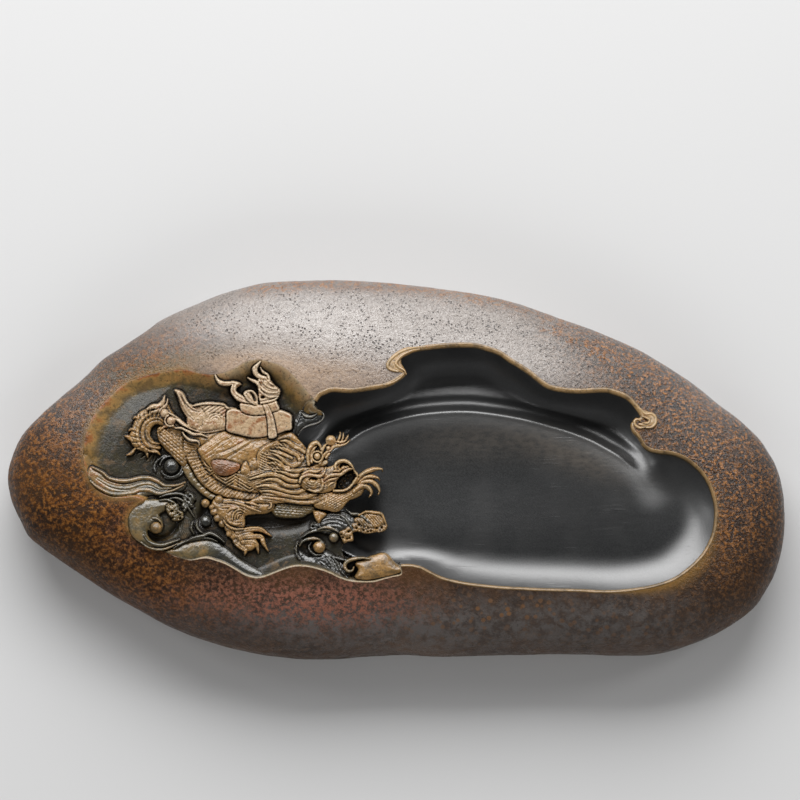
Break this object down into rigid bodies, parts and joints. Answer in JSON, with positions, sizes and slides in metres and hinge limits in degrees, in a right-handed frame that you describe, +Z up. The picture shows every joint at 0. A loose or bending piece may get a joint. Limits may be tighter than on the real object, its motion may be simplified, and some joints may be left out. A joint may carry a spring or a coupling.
{
  "type": "ink stone",
  "caption": "Oval ink stone cut from a river cobble, with a scrolled lip over its ink hall and pool, and a dragon-turtle carved among waves.",
  "frame": {"origin": "centre of the bounding box of the sawn base, on the surface the stone rests on", "axes": "+X along the stone's length towards its rounded end, +Y across it from the plain rim towards the ink pool, +Z up out of the carved face"},
  "size_m": [0.28, 0.1414, 0.0401],
  "materials": {
    "river_rind": "weathered river rind: satin, finely pitted, rust-brown mottled",
    "slate": "sound dark slate, honed satin",
    "rubbed_slate": "fine-rubbed slate, soft satin with faint strokes",
    "ochre_carving": "carved ochre underlayer, waxed satin, dark in the cuts",
    "pale_carving": "carved pale tan underlayer, waxed satin, dark in the cuts",
    "rust_carving": "carved rust-brown underlayer, waxed satin",
    "olive_carving": "carved olive underlayer, waxed satin",
    "wave_slate": "carved dark slate, waxed, bright on its ridges"
  },
  "bodies": {
    "root": {"river_skin": "river_rind", "slate_core": "slate", "ink_hall": "rubbed_slate", "lip_curl_left": "wave_slate", "lip_curl_middle": "river_rind", "lip_curl_right": "ochre_carving", "casket_strap": "pale_carving", "ribbon_knot": "pale_carving", "ribbon_tails": "pale_carving", "casket_lid": "pale_carving", "book_casket": "pale_carving", "fore_claws": "ochre_carving", "foreleg": "ochre_carving", "horn_pearl": "ochre_carving", "horns": "ochre_carving", "dragon_head": "ochre_carving", "mane": "ochre_carving", "saddle_cushion": "rust_carving", "saddle_cloth": "ochre_carving", "bundle_plume": "pale_carving", "cloth_bundle": "pale_carving", "tail_tip": "pale_carving", "tail_coil": "ochre_carving", "tail_base": "ochre_carving", "hind_claws": "ochre_carving", "hind_foot": "ochre_carving", "hind_thigh": "ochre_carving", "turtle_shell": "ochre_carving", "shell_rim": "ochre_carving", "turtle_belly": "olive_carving", "shell_skirt": "olive_carving", "wave_pearls": "wave_slate", "pearl_ripple": "wave_slate", "foam_left": "olive_carving", "foam_right": "ochre_carving", "spray_tuft": "ochre_carving", "splash_wave": "wave_slate", "scroll_knobs": "ochre_carving", "wave_crest_right": "ochre_carving", "wave_scroll_left": "olive_carving", "wave_scroll_middle": "wave_slate", "wave_scroll_right": "olive_carving", "wave_bank": "olive_carving", "wave_swell": "olive_carving"}
  },
  "joints": []
}
